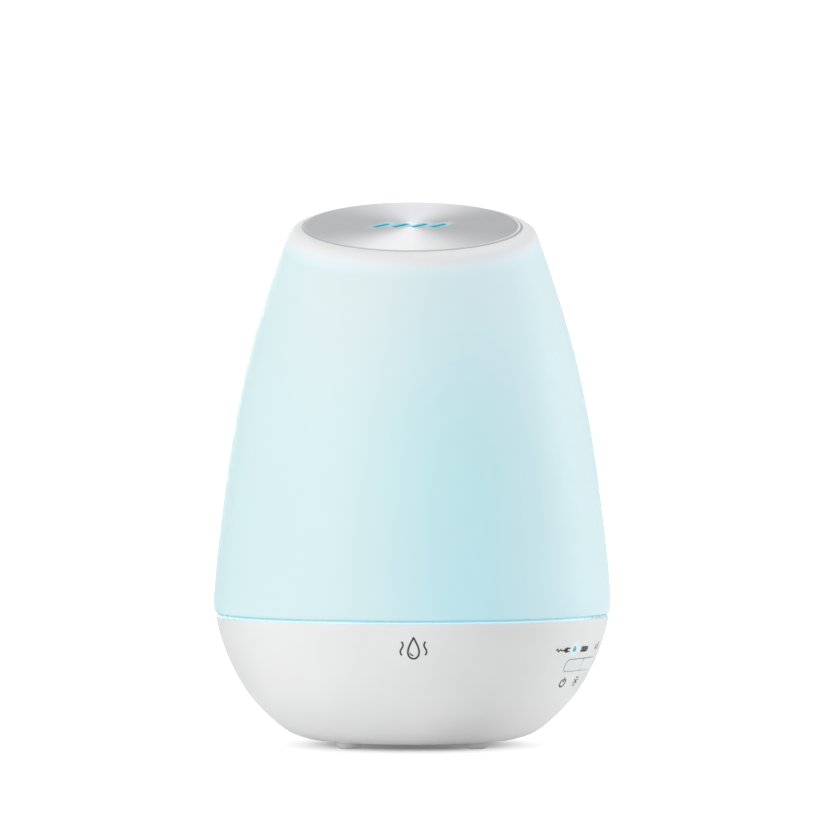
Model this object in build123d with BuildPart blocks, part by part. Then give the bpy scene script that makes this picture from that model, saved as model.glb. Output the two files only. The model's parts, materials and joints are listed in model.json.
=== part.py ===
from build123d import *
import math
import os

# Ultrasonic essential oil diffuser, millimetres.
# +Z is up, the front faces -Y, and the origin is on the ground under the middle of the base.
# An angle "phi" is a bearing round the Z axis, from the front (-Y) towards the right (+X).

# ---------------------------------------------------------------- driving dimensions
FOOT_H = 2.5            # how far the feet hold the base off the table
WALL_BASE = 2.5         # base bowl wall
WALL_COVER = 2.4        # frosted cover wall
SEAM_Z = 45.7           # top edge of the base bowl
RING_H = 1.0            # visible height of the light ring
COVER_Z0 = SEAM_Z + RING_H + 0.05
OPENING_R = 38.0        # round opening under the bowl
DECK_Z = 38.5           # underside of the tank's deck plate
POST = 22.3             # screw posts and feet stand at (+-POST, +-POST)

TILT = 15.0             # slope of the top, falling towards the front
TOP_Z = 184.3           # height of the sloped rim plane on the Z axis
DISC_SHIFT = 2.6        # the metal disc's centre, measured down the slope from the Z axis
DISC_R = 39.0
DISC_T = 1.4
DISC_PROUD = 0.4
SLOT_PITCH = 6.75       # mist slots in the disc
SLOT_LEN = 9.0
SLOT_W = 3.3
SLOT_ANGLE = 46.0

TANK_R = 42.5           # inside radius
TANK_WALL = 2.5
TANK_FLOOR = 46.0
TANK_TOP = 92.0

PANEL_PHI = 65.6        # bearing of the control panel's middle; both keys push straight in along it
POCKET_W = 24.6         # pocket for the two keys
POCKET_H = 4.5
KEY_GAP = 0.2           # play round each key
KEY_PROUD = 0.25
KEY_Z = 29.8
LENS_Z = 35.7
LENS_R = 1.0
LENS_PHI = (57.2, 73.6)

FAN_Y = 30.0
FAN = 30.0              # side of the square frame
FAN_Z = 14.0            # underside of the frame
FAN_H = 10.0
FAN_TOP = FAN_Z + FAN_H

CELL_X, CELL_Z, CELL_R, CELL_L = -36.0, 28.2, 9.2, 65.0
CRADLE_Z = CELL_Z - 11.6    # underside of the battery cradle

PORT_Z = 18.5           # height of the charge port's axis

# Small screws, shared by several pieces
HEAD_R = 1.9
SHANK_R = 0.95
CLEAR_R = 1.25          # clearance hole
PILOT_R = 1.05          # pilot hole in the bottom cover's posts
SMALL_CROSS = (2.2, 0.5)    # cross recess: span, slot width

# Outer profile points (radius, height).
BASE_PROFILE = [
    (69.8, 45.7), (69.1, 42.2), (67.2, 35.9), (64.65, 29.5), (61.35, 23.1),
    (57.15, 16.8), (51.4, 10.7), (46.7, 6.6), (42.4, 4.0), (38.0, 2.75)]
COVER_PROFILE = [
    (70.2, 46.75), (70.5, 50.5), (70.35, 54.5), (69.85, 61.4), (68.35, 75.6),
    (66.55, 89.8), (64.5, 104.0), (62.05, 118.3), (59.1, 132.5), (55.4, 146.7),
    (51.15, 160.9), (45.9, 176.5), (39.6, 193.0), (34.2, 206.0)]

os.makedirs("parts", exist_ok=True)


def save(builder, name):
    builder.part.label = name
    export_step(builder.part, "parts/" + name + ".step")


# ---------------------------------------------------------------- profile curves
def cubic(ts, ys):
    """Natural cubic spline through (ts, ys), as a function."""
    n = len(ts) - 1
    h = [ts[i + 1] - ts[i] for i in range(n)]
    # tridiagonal system for the second derivatives at the knots
    rhs = [0.0] * (n + 1)
    low, mid, high = [0.0] * (n + 1), [1.0] * (n + 1), [0.0] * (n + 1)
    for i in range(1, n):
        low[i], mid[i], high[i] = h[i - 1], 2 * (h[i - 1] + h[i]), h[i]
        rhs[i] = 6 * ((ys[i + 1] - ys[i]) / h[i] - (ys[i] - ys[i - 1]) / h[i - 1])
    for i in range(1, n + 1):
        factor = low[i] / mid[i - 1]
        mid[i] -= factor * high[i - 1]
        rhs[i] -= factor * rhs[i - 1]
    bend = [0.0] * (n + 1)
    bend[n] = rhs[n] / mid[n]
    for i in range(n - 1, -1, -1):
        bend[i] = (rhs[i] - high[i] * bend[i + 1]) / mid[i]

    def value(t):
        i = 0
        while i < n - 1 and t > ts[i + 1]:
            i += 1
        after, before = ts[i + 1] - t, t - ts[i]
        return ((bend[i] * after ** 3 + bend[i + 1] * before ** 3) / (6 * h[i])
                + (ys[i] / h[i] - bend[i] * h[i] / 6) * after
                + (ys[i + 1] / h[i] - bend[i + 1] * h[i] / 6) * before)

    return value


def dense(points, count=400):
    """Closely spaced points on a smooth curve through points."""
    ts = [0.0]
    for (r0, z0), (r1, z1) in zip(points, points[1:]):
        ts.append(ts[-1] + math.hypot(r1 - r0, z1 - z0))
    r_at, z_at = cubic(ts, [p[0] for p in points]), cubic(ts, [p[1] for p in points])
    return [(r_at(ts[-1] * i / count), z_at(ts[-1] * i / count)) for i in range(count + 1)]


def shifted(curve, distance, side):
    """The curve moved towards its solid side. side is +1 or -1, for the curve's direction."""
    out = []
    for i, (r, z) in enumerate(curve):
        r0, z0 = curve[max(0, i - 1)]
        r1, z1 = curve[min(len(curve) - 1, i + 1)]
        step = side * distance / math.hypot(r1 - r0, z1 - z0)
        out.append((r + step * (z1 - z0), z - step * (r1 - r0)))
    return out


def pick(curve, count):
    """count points spread evenly over the curve, both ends included."""
    last = len(curve) - 1
    return [curve[round(last * i / (count - 1))] for i in range(count)]


def between(curve, z0, z1, count=7):
    """Points of the curve at evenly spaced heights from z0 to z1."""
    out = []
    for i in range(count):
        z = z0 + (z1 - z0) * i / (count - 1)
        for (ra, za), (rb, zb) in zip(curve, curve[1:]):
            if min(za, zb) <= z <= max(za, zb) and abs(zb - za) > 1e-9:
                out.append((ra + (rb - ra) * (z - za) / (zb - za), z))
                break
    return out


BASE = dense(BASE_PROFILE)
COVER = dense(COVER_PROFILE)


# ---------------------------------------------------------------- planes and places
def bearing(phi, r, z=0.0):
    a = math.radians(phi)
    return (r * math.sin(a), -r * math.cos(a), z)


def radial_plane(phi, r, z):
    """A plane facing outwards at bearing phi; x runs towards larger bearings, y up."""
    a = math.radians(phi)
    return Plane(origin=bearing(phi, r, z), x_dir=(math.cos(a), math.sin(a), 0),
                 z_dir=(math.sin(a), -math.cos(a), 0))


def wedge_plane(phi):
    """A plane holding the Z axis at bearing phi: x points outwards, y up."""
    a = math.radians(phi)
    return Plane(origin=(0, 0, 0), x_dir=(math.sin(a), -math.cos(a), 0),
                 z_dir=(-math.cos(a), -math.sin(a), 0))


def polar_spots(radius, count, start):
    """count points evenly round the origin, the first at start degrees from the x axis."""
    angles = [math.radians(start + 360 / count * i) for i in range(count)]
    return [(radius * math.cos(a), radius * math.sin(a)) for a in angles]


SLOPE = math.radians(TILT)
TOP = Plane(origin=(0, -DISC_SHIFT * math.cos(SLOPE), TOP_Z - DISC_SHIFT * math.sin(SLOPE)),
            x_dir=(1, 0, 0), z_dir=(0, -math.sin(SLOPE), math.cos(SLOPE)))
CENTRE = [(0.0, 0.0)]
CORNERS = [(POST, POST), (-POST, POST), (-POST, -POST), (POST, -POST)]
BOARD_POSTS = [(14.5, -32.0), (-14.5, -32.0), (14.5, 10.5), (-14.5, 10.5)]
CRADLE_POSTS = [(-30.0, 10.0), (-30.0, -10.0)]
RETAINER_POSTS = polar_spots(15.4, 3, -90)
LIGHT_PIPS = polar_spots(60.5, 4, 45)
STUDS = polar_spots(35.0, 3, 90)        # in the sloped top plane
FAN_AXIS = [(0.0, FAN_Y)]
FAN_HOLES = [(sx * 12.0, FAN_Y + sy * 12.0) for sx in (-1, 1) for sy in (-1, 1)]
DUCT_POSTS = [(17.5, FAN_Y + 4.5), (-17.5, FAN_Y + 4.5)]
CHARGE_SCREWS = [(6.6, 48.4), (-6.6, 48.4)]
# (across, height) on the control panel
PANEL_SCREWS = [(-15.2, 35.6), (15.2, 35.6), (-15.2, 24.0), (15.2, 24.0)]


# ---------------------------------------------------------------- shapes for the active part
# Each of these draws a private sketch and applies the solid to the part builder it is called in.
def discs(spots, z, height, radius, bore=0.0, mode=Mode.ADD, plane=Plane.XY):
    """Cylinders, or rings when bored, standing on plane moved up by z."""
    with BuildSketch(plane.offset(z)) as outline:
        with Locations(*spots):
            Circle(radius)
            if bore:
                Circle(bore, mode=Mode.SUBTRACT)
    extrude(outline.sketch, amount=height, mode=mode)


def holes(spots, z, depth, radius, plane=Plane.XY):
    """Round holes reaching depth upwards from plane moved up by z."""
    discs(spots, z, depth, radius, mode=Mode.SUBTRACT, plane=plane)


def cross_recess(spots, z, span, width, depth):
    """Cross-shaped screwdriver recesses."""
    with BuildSketch(Plane.XY.offset(z)) as outline:
        with Locations(*spots):
            Rectangle(span, width)
            Rectangle(width, span)
    extrude(outline.sketch, amount=depth, mode=Mode.SUBTRACT)


def radial_rod(phi, start, z, length, radius, across=0.0, mode=Mode.ADD):
    """A rod pointing outwards at bearing phi, from start mm off the Z axis."""
    with BuildSketch(radial_plane(phi, start, z)) as outline:
        with Locations((across, 0)):
            Circle(radius)
    extrude(outline.sketch, amount=length, mode=mode)


def port_block(y, width, height, corner, depth, mode=Mode.ADD):
    """A rounded block on the charge port's axis, running back (+Y) from y."""
    plane = Plane(origin=(0, y, PORT_Z), x_dir=(-1, 0, 0), z_dir=(0, 1, 0))
    with BuildSketch(plane) as outline:
        RectangleRounded(width, height, corner)
    extrude(outline.sketch, amount=depth, mode=mode)


def turned(corners, curve=(), mode=Mode.ADD):
    """A (radius, height) outline turned round Z: corners, closed by the curve if there is one."""
    with BuildSketch(Plane.XZ) as outline:
        with BuildLine():
            if curve:
                Spline(*curve)
                Polyline(curve[-1], *corners, curve[0])
            else:
                Polyline(*corners, close=True)
        make_face()
    revolve(outline.sketch, axis=Axis.Z, mode=mode)


# ================================================================ base body
LEDGE_R, LEDGE_BORE, LEDGE_T = 66.6, 62.6, 1.4
BOSS_R = 5.3            # screw bosses of the bottom cover

with BuildPart() as base_outer:
    turned([(0, BASE[-1][1]), (0, SEAM_Z)], curve=pick(BASE, 26))

bowl_inside = [p for p in shifted(BASE, WALL_BASE, 1) if 6.85 < p[1] < SEAM_Z]
with BuildPart() as bowl:
    add(base_outer.part)
    # hollow of the bowl, open at the top
    turned([(0, bowl_inside[-1][1]), (0, SEAM_Z + 3), (bowl_inside[0][0], SEAM_Z + 3)],
           curve=pick(bowl_inside, 24), mode=Mode.SUBTRACT)
    # round opening underneath, with a step that the bottom cover seats against
    holes(CENTRE, 0, 5.03, OPENING_R)
    with BuildSketch(Plane.XY):
        Circle(34.6)
        with Locations(*CORNERS):
            Circle(BOSS_R + 0.2)
        with Locations(*BOARD_POSTS):
            Circle(2.8)
    extrude(amount=12, mode=Mode.SUBTRACT)
    top_edges = bowl.edges().filter_by(GeomType.CIRCLE).group_by(Axis.Z)[-1]
    fillet(top_edges.sort_by(SortBy.RADIUS)[-1], 0.5)

# ledge that carries the tank's deck
with BuildPart() as base_ledge:
    discs(CENTRE, DECK_Z - LEDGE_T, LEDGE_T, LEDGE_R, bore=LEDGE_BORE)

# bosses for the charge port and the switch board, trimmed to the bowl's outer surface
with BuildPart() as port_boss:
    with Locations((0, 53.5, 18.75)):
        Box(19, 9, 11.5)
    with Locations((0, 50.5, 14.3)):
        Box(19, 9, 2.6)
    add(base_outer.part, mode=Mode.INTERSECT)
with BuildPart() as panel_bosses:
    for across, z in PANEL_SCREWS:
        radial_rod(PANEL_PHI, 55.2, z, 14, 2.3, across)
    add(base_outer.part, mode=Mode.INTERSECT)

with BuildPart() as base_shell:
    add(bowl.part)
    add(base_ledge.part)
    add(port_boss.part)
    add(panel_bosses.part)
    # pocket for the two keys
    with BuildSketch(radial_plane(PANEL_PHI, 58, KEY_Z)):
        RectangleRounded(POCKET_W, POCKET_H, 2.1)
    extrude(amount=20, mode=Mode.SUBTRACT)
    # indicator holes
    for phi in LENS_PHI:
        radial_rod(phi, 50, LENS_Z, 25, LENS_R + 0.05, mode=Mode.SUBTRACT)
    # pilot holes for the switch board's screws, blind from inside
    for across, z in PANEL_SCREWS:
        radial_rod(PANEL_PHI, 55, z, 4.2, 0.95, across, mode=Mode.SUBTRACT)
    # charge port: flat-bottomed recess outside, the port's own opening, room for its board
    port_block(55.0, 13.0, 6.8, 2.0, 12, mode=Mode.SUBTRACT)
    port_block(44.0, 9.2, 3.4, 1.65, 14, mode=Mode.SUBTRACT)
    with Locations((0, 47.0, 19.0)):
        Box(17.4, 8.8, 6.8, mode=Mode.SUBTRACT)
    # pilot holes for the charge board's screws
    holes(CHARGE_SCREWS, 13.6, 4, 0.75)
save(base_shell, "base_shell")

# ---------------------------------------------------------------- bottom cover
PLATE_T = 2.5
POSTS_Z = FOOT_H + PLATE_T - 0.2    # bosses and posts start just inside the plate
GRILLE_PITCH, GRILLE_SLOT_W = 4.0, 1.9

with BuildPart() as bottom_cover:
    discs(CENTRE, FOOT_H, PLATE_T, OPENING_R - 0.2)
    fillet(bottom_cover.edges().filter_by(GeomType.CIRCLE).group_by(Axis.Z)[0], 0.4)
    # screw bosses with foot recess, head recess and clearance hole
    discs(CORNERS, POSTS_Z, 4.2, BOSS_R)
    holes(CORNERS, 0, 4.1, 4.0)
    holes(CORNERS, 0, 6.4, 3.0)
    holes(CORNERS, 0, 12, 1.7)
    # posts for the main board
    discs(BOARD_POSTS, POSTS_Z, 7.2, 2.5)
    holes(BOARD_POSTS, 6.5, 8, PILOT_R)
    # posts for the battery cradle
    discs(CRADLE_POSTS, POSTS_Z, CRADLE_Z - 0.05 - POSTS_Z, 2.6)
    holes(CRADLE_POSTS, 8.5, 12, PILOT_R)
    # air intake grille under the fan, with shorter slots at both ends
    with BuildSketch(Plane.XY):
        for i in range(-3, 4):
            y, length = (24.5, 15) if abs(i) < 3 else (23.0, 11)
            with Locations((i * GRILLE_PITCH, y)):
                SlotOverall(length, GRILLE_SLOT_W, rotation=90)
    extrude(amount=8, mode=Mode.SUBTRACT)
    # smaller grille towards the front, under the main board
    with BuildSketch(Plane.XY):
        for i in range(-3, 4):
            with Locations((i * GRILLE_PITCH, -17.0)):
                SlotOverall(10, GRILLE_SLOT_W, rotation=90)
    extrude(amount=8, mode=Mode.SUBTRACT)
save(bottom_cover, "bottom_cover")

with BuildPart() as rubber_feet:
    discs(CORNERS, 0, FOOT_H - 0.02, 4.4)
    fillet(rubber_feet.edges().group_by(Axis.Z)[0], 1.7)
    discs(CORNERS, FOOT_H - 0.3, 1.8, 3.9)
save(rubber_feet, "rubber_feet")

with BuildPart() as base_screws:
    discs(CORNERS, 4.45, 1.9, 2.8)
    fillet(base_screws.edges().group_by(Axis.Z)[0], 0.5)
    discs(CORNERS, 6.2, 15, 1.45)
    chamfer(base_screws.edges().group_by(Axis.Z)[-1], 0.6)
    cross_recess(CORNERS, 4.4, span=3.0, width=0.7, depth=1.1)
save(base_screws, "base_screws")

# ---------------------------------------------------------------- water tank and its deck
DECK_T = 2.0
DECK_TOP = DECK_Z + DECK_T
GROOVE_R, GROOVE_BORE = 64.6, 63.0
AIR_TUBE_R = 7.8
CABLE_HOLE_Y = -48.6

TANK_OUTLINE = [
    (0, TANK_FLOOR - 2.5), (TANK_R, TANK_FLOOR - 2.5), (TANK_R, DECK_Z),
    (65.2, DECK_Z), (65.2, DECK_TOP), (TANK_R + TANK_WALL, DECK_TOP),
    (TANK_R + TANK_WALL, TANK_TOP), (TANK_R + 0.3, TANK_TOP),
    (TANK_R - 0.6, TANK_FLOOR + 7.0), (TANK_R - 1.8, TANK_FLOOR + 3.6),
    (TANK_R - 5.0, TANK_FLOOR + 1.6), (14.0, TANK_FLOOR), (0, TANK_FLOOR)]

with BuildPart() as water_tank:
    turned(TANK_OUTLINE)
    # groove under the deck for its gasket
    discs(CENTRE, DECK_Z, 0.9, GROOVE_R, bore=GROOVE_BORE, mode=Mode.SUBTRACT)
    # four long screw posts
    with BuildSketch(Plane.XY.offset(9.05)):
        with Locations(*CORNERS):
            Circle(3.6)
    extrude(until=Until.NEXT)
    holes(CORNERS, 9.0, 16, 1.5)
    # posts for the piezo retainer
    discs(RETAINER_POSTS, 40.35, 3.6, 2.7)
    # air tube, open below the floor and above the water line
    discs(FAN_AXIS, 38.2, 46.5, AIR_TUBE_R)
    holes(FAN_AXIS, 38.0, 48, AIR_TUBE_R - 1.6)
    # posts for the air duct
    discs(DUCT_POSTS, 36.2, 7.5, 2.7)
    # piezo window and pilot holes
    holes(CENTRE, 42, 6, 8.0)
    holes(RETAINER_POSTS, 40.0, 4.0, 1.0)
    holes(DUCT_POSTS, 36.0, 7.0, 1.0)
    # cable hole through the deck for the light board
    holes([(0, CABLE_HOLE_Y)], DECK_Z - 0.1, 2.3, 1.9)
    # locating pips for the light board
    discs(LIGHT_PIPS, DECK_TOP - 0.1, 1.5, 0.9)
save(water_tank, "water_tank")

with BuildPart() as tank_gasket:
    discs(CENTRE, DECK_Z + 0.02, 0.84, GROOVE_R - 0.1, bore=GROOVE_BORE + 0.1)
save(tank_gasket, "tank_gasket")

# ---------------------------------------------------------------- light ring and light board
RING_TOP = SEAM_Z + RING_H
LED_BOARD_Z = DECK_TOP + 0.1
LED_R = 56.2            # the lights' pitch radius
LED_COUNT = 12

RING_OUTLINE = [
    (45.3, SEAM_Z), (65.7, SEAM_Z), (65.7, SEAM_Z - 2.4), (66.6, SEAM_Z - 2.4),
    (66.6, SEAM_Z), (69.35, SEAM_Z), (69.35, RING_TOP), (67.3, RING_TOP),
    (67.3, SEAM_Z + 4.4), (65.7, SEAM_Z + 4.4), (65.7, RING_TOP), (45.3, RING_TOP)]

with BuildPart() as light_ring:
    turned(RING_OUTLINE)
    chamfer(light_ring.edges().filter_by(GeomType.CIRCLE).group_by(Axis.Z)[-1], 0.5)
save(light_ring, "light_ring")

with BuildPart() as led_board:
    with BuildSketch(Plane.XY.offset(LED_BOARD_Z)):
        Circle(62.2)
        Circle(50.5, mode=Mode.SUBTRACT)
        with Locations(*LIGHT_PIPS):
            Circle(1.1, mode=Mode.SUBTRACT)
    extrude(amount=1.2)
save(led_board, "led_board")

with BuildPart() as ring_leds:
    with BuildSketch(Plane.XY.offset(LED_BOARD_Z + 1.22)):
        with PolarLocations(LED_R, LED_COUNT, 15):
            Rectangle(5.0, 5.0)
    extrude(amount=1.4)
    holes(polar_spots(LED_R, LED_COUNT, 15), LED_BOARD_Z + 2.3, 0.5, 1.9)
save(ring_leds, "ring_leds")

# ---------------------------------------------------------------- mist maker
PIEZO_R = 10.0

with BuildPart() as piezo_disc:
    discs(CENTRE, 41.35, 1.2, PIEZO_R)
save(piezo_disc, "piezo_disc")

with BuildPart() as piezo_seal:
    discs(CENTRE, 40.3, 3.15, 12.2, bore=8.1)
    holes(CENTRE, 41.3, 1.3, PIEZO_R + 0.05)
save(piezo_seal, "piezo_seal")

with BuildPart() as piezo_retainer:
    with BuildSketch(Plane.XY.offset(38.6)):
        Circle(18.3)
        Circle(7.0, mode=Mode.SUBTRACT)
        with Locations(*RETAINER_POSTS):
            Circle(CLEAR_R, mode=Mode.SUBTRACT)
    extrude(amount=1.65)
    fillet(piezo_retainer.edges().filter_by(GeomType.CIRCLE).sort_by(SortBy.RADIUS)[-2:], 0.5)
save(piezo_retainer, "piezo_retainer")

with BuildPart() as retainer_screws:
    discs(RETAINER_POSTS, 37.3, 1.28, HEAD_R)
    discs(RETAINER_POSTS, 38.5, 5.0, SHANK_R)
    cross_recess(RETAINER_POSTS, 37.2, *SMALL_CROSS, depth=0.8)
save(retainer_screws, "retainer_screws")

# ---------------------------------------------------------------- fan
FRAME_CORNER = 2.5
SHAFT_R = 1.0
HUB_R = 7.7
HUB_BORE = 6.95
IMPELLER_H = 7.4
BLADES = 7

with BuildPart() as fan_frame:
    with BuildSketch(Plane.XY.offset(FAN_Z)):
        with Locations(*FAN_AXIS):
            RectangleRounded(FAN, FAN, FRAME_CORNER)
            Circle(14.1, mode=Mode.SUBTRACT)
        with Locations(*FAN_HOLES):
            Circle(1.5, mode=Mode.SUBTRACT)
    extrude(amount=FAN_H)
    # motor seat on three struts
    with BuildSketch(Plane.XY.offset(FAN_Z)):
        with Locations(*FAN_AXIS):
            Circle(7.4)
            for angle, spot in zip((90, 210, 330), polar_spots(10.8, 3, 90)):
                with Locations(spot):
                    Rectangle(8.0, 1.8, rotation=angle)
    extrude(amount=1.2)
    # bearing tube
    discs(FAN_AXIS, FAN_Z + 1.1, 6.0, 2.4)
    holes(FAN_AXIS, FAN_Z + 0.6, 8.0, SHAFT_R + 0.05)
save(fan_frame, "fan_frame")

with BuildPart() as fan_stator:
    with BuildSketch(Plane.XY.offset(FAN_Z + 2.2)):
        with Locations(*FAN_AXIS):
            Circle(3.4)
            with PolarLocations(4.2, 4, 45):
                Rectangle(2.4, 2.2)
            Circle(2.45, mode=Mode.SUBTRACT)
    extrude(amount=4.0)
save(fan_stator, "fan_stator")

with BuildPart() as fan_impeller:
    discs(FAN_AXIS, FAN_Z + 1.9, IMPELLER_H, HUB_R)
    for i in range(BLADES):
        turn = Location((0, FAN_Y, FAN_Z + 5.6), (0, 0, 360 / BLADES * i))
        with Locations(turn * Location((10.3, 0, 0), (38, 0, 0))):
            Box(6.4, 0.7, 8.6)
    # keep the blades inside the frame's bore and between its faces
    discs(FAN_AXIS, FAN_Z + 1.9, IMPELLER_H, 13.5, mode=Mode.INTERSECT)
    holes(FAN_AXIS, FAN_Z + 1.8, 6.4, HUB_BORE)
    holes(FAN_AXIS, FAN_Z + 8.0, 0.9, SHAFT_R)
save(fan_impeller, "fan_impeller")

with BuildPart() as fan_shaft:
    discs(FAN_AXIS, FAN_Z + 0.8, 8.1, SHAFT_R)
save(fan_shaft, "fan_shaft")

with BuildPart() as fan_magnet:
    discs(FAN_AXIS, FAN_Z + 2.0, 5.6, HUB_BORE - 0.05, bore=6.0)
save(fan_magnet, "fan_magnet")

with BuildPart() as fan_screws:
    discs(FAN_HOLES, FAN_Z - 1.5, 1.48, 2.2)
    discs(FAN_HOLES, FAN_Z - 0.1, FAN_H + 3.2, 1.2)
    cross_recess(FAN_HOLES, FAN_Z - 1.6, span=2.4, width=0.6, depth=0.9)
save(fan_screws, "fan_screws")

# ---------------------------------------------------------------- air duct from fan to air tube
FUNNEL_Z0 = FAN_TOP + 1.5
FUNNEL_Z1 = 35.0
FUNNEL_BORE = 13.6      # at the bottom
NECK_R, NECK_BORE = 9.8, 8.6

# (x, y) corners of the bar that carries the duct's two screw ears
EAR_OUTLINE = [
    (9.0, FAN_Y + 0.5), (20.3, FAN_Y + 2.0), (20.3, FAN_Y + 7.0), (9.0, FAN_Y + 4.0),
    (-9.0, FAN_Y + 4.0), (-20.3, FAN_Y + 7.0), (-20.3, FAN_Y + 2.0), (-9.0, FAN_Y + 0.5)]

with BuildPart() as air_duct:
    with BuildSketch(Plane.XY.offset(FAN_TOP + 0.03)):
        with Locations(*FAN_AXIS):
            RectangleRounded(FAN, FAN, FRAME_CORNER)
    extrude(amount=1.6)
    discs(FAN_HOLES, FUNNEL_Z0, 2.4, 2.6)
    with BuildSketch(Plane.XY.offset(FUNNEL_Z0)):
        with Locations(*FAN_AXIS):
            Circle(14.9)
    with BuildSketch(Plane.XY.offset(FUNNEL_Z1)):
        with Locations(*FAN_AXIS):
            Circle(NECK_R)
    loft()
    discs(FAN_AXIS, FUNNEL_Z1, 6.0, NECK_R)
    with BuildSketch(Plane.XY.offset(34.6)):
        with BuildLine():
            Polyline(*EAR_OUTLINE, close=True)
        make_face()
    extrude(amount=1.55)
    # hollow
    holes(FAN_AXIS, FAN_TOP - 0.2, 1.7, FUNNEL_BORE)
    with BuildSketch(Plane.XY.offset(FUNNEL_Z0)):
        with Locations(*FAN_AXIS):
            Circle(FUNNEL_BORE)
    with BuildSketch(Plane.XY.offset(FUNNEL_Z1)):
        with Locations(*FAN_AXIS):
            Circle(NECK_BORE)
    loft(mode=Mode.SUBTRACT)
    holes(FAN_AXIS, FUNNEL_Z1 - 0.1, 8, NECK_BORE)
    holes(FAN_HOLES, FAN_TOP - 0.1, 3.6, CLEAR_R)
    holes(DUCT_POSTS, 34, 3, CLEAR_R)
save(air_duct, "air_duct")

with BuildPart() as duct_seal:
    discs(FAN_AXIS, 38.3, 2.6, NECK_BORE - 0.05, bore=AIR_TUBE_R + 0.05)
save(duct_seal, "duct_seal")

with BuildPart() as duct_screws:
    discs(DUCT_POSTS, 33.2, 1.38, HEAD_R)
    discs(DUCT_POSTS, 34.4, 6.0, SHANK_R)
    cross_recess(DUCT_POSTS, 33.1, *SMALL_CROSS, depth=0.8)
save(duct_screws, "duct_screws")

# ---------------------------------------------------------------- main board
BOARD_Z = 12.03
BOARD_T = 1.6
PARTS_Z = BOARD_Z + BOARD_T + 0.02      # underside of what stands on the board

with BuildPart() as main_board:
    with BuildSketch(Plane.XY.offset(BOARD_Z)):
        with Locations((0, -10.8)):
            RectangleRounded(34.5, 48.0, 1.5)
        with Locations(*BOARD_POSTS):
            Circle(CLEAR_R, mode=Mode.SUBTRACT)
    extrude(amount=BOARD_T)
save(main_board, "main_board")

with BuildPart() as board_screws:
    discs(BOARD_POSTS, PARTS_Z, 1.4, HEAD_R)
    discs(BOARD_POSTS, PARTS_Z - 5.6, 5.8, 0.98)
    cross_recess(BOARD_POSTS, PARTS_Z + 0.7, *SMALL_CROSS, depth=1.0)
save(board_screws, "board_screws")

COIL = [(-8.0, -20.0)]
COIL_FLANGE_R = 5.2
with BuildPart() as drive_coil:
    discs(COIL, PARTS_Z, 1.0, COIL_FLANGE_R)
    discs(COIL, PARTS_Z + 0.9, 6.2, 4.1)
    discs(COIL, PARTS_Z + 7.0, 1.0, COIL_FLANGE_R)
    fillet(drive_coil.edges().filter_by(GeomType.CIRCLE).group_by(Axis.Z)[-1], 0.4)
save(drive_coil, "drive_coil")

# x, y, radius, height
CAPACITORS = [(5.0, -24.5, 3.1, 8.0), (12.5, -23.5, 2.5, 6.5), (4.5, -16.5, 2.5, 6.5)]
with BuildPart() as capacitors:
    for x, y, radius, height in CAPACITORS:
        discs([(x, y)], PARTS_Z, height, radius)
    rims = capacitors.edges().filter_by(GeomType.CIRCLE)
    fillet(rims.filter_by_position(Axis.Z, PARTS_Z + 6, PARTS_Z + 9), 0.4)
save(capacitors, "capacitors")

# x, y, width, depth
CHIPS = [(3.0, 2.0, 8.6, 5.2), (-8.0, -4.0, 5.0, 5.0), (10.5, -9.0, 5.0, 4.0)]
with BuildPart() as control_chips:
    with BuildSketch(Plane.XY.offset(PARTS_Z + 0.1)):
        for x, y, width, depth in CHIPS:
            with Locations((x, y)):
                Rectangle(width, depth)
    extrude(amount=1.5)
    chamfer(control_chips.edges().group_by(Axis.Z)[-1], 0.25)
save(control_chips, "control_chips")

with BuildPart() as heat_sink:
    with Locations((-12.0, -10.6, PARTS_Z + 4.0)):
        Box(6.0, 2.0, 8.0)
    for i in range(4):
        with Locations((-14.1 + i * 1.4, -9.0, PARTS_Z + 4.6)):
            Box(0.6, 3.4, 6.8)
save(heat_sink, "heat_sink")

SWITCH_PLUG = (12.6, -2.5)
CHARGE_PLUG = (12.6, -16.6)
PIEZO_PLUG = (12.5, 4.5)
LIGHT_PLUG = (0.0, -31.2)
FAN_PLUG = (-3.0, 9.0)
BATTERY_PLUG = (-14.4, -26.2)
with BuildPart() as wire_connectors:
    for x, y in (PIEZO_PLUG, LIGHT_PLUG, FAN_PLUG, CHARGE_PLUG, BATTERY_PLUG, SWITCH_PLUG):
        with Locations((x, y, PARTS_Z + 2.2)):
            Box(5.4, 4.6, 4.4)
        with Locations((x, y, PARTS_Z + 3.3)):
            Box(4.0, 3.2, 3.0, mode=Mode.SUBTRACT)
save(wire_connectors, "wire_connectors")

# ---------------------------------------------------------------- battery
STRAP_Z = CELL_Z - 0.43
STRAP_YS = (-19.0, 19.0)
STRAP_W = 3.8
STRAP_R, STRAP_BORE = 10.25, 9.66

with BuildPart() as battery_cell:
    with BuildSketch(Plane.XZ.offset(-CELL_L / 2)):
        with Locations((CELL_X, CELL_Z)):
            Circle(CELL_R)
    extrude(amount=CELL_L)
    fillet(battery_cell.edges().filter_by(GeomType.CIRCLE), 0.7)
save(battery_cell, "battery_cell")

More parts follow.
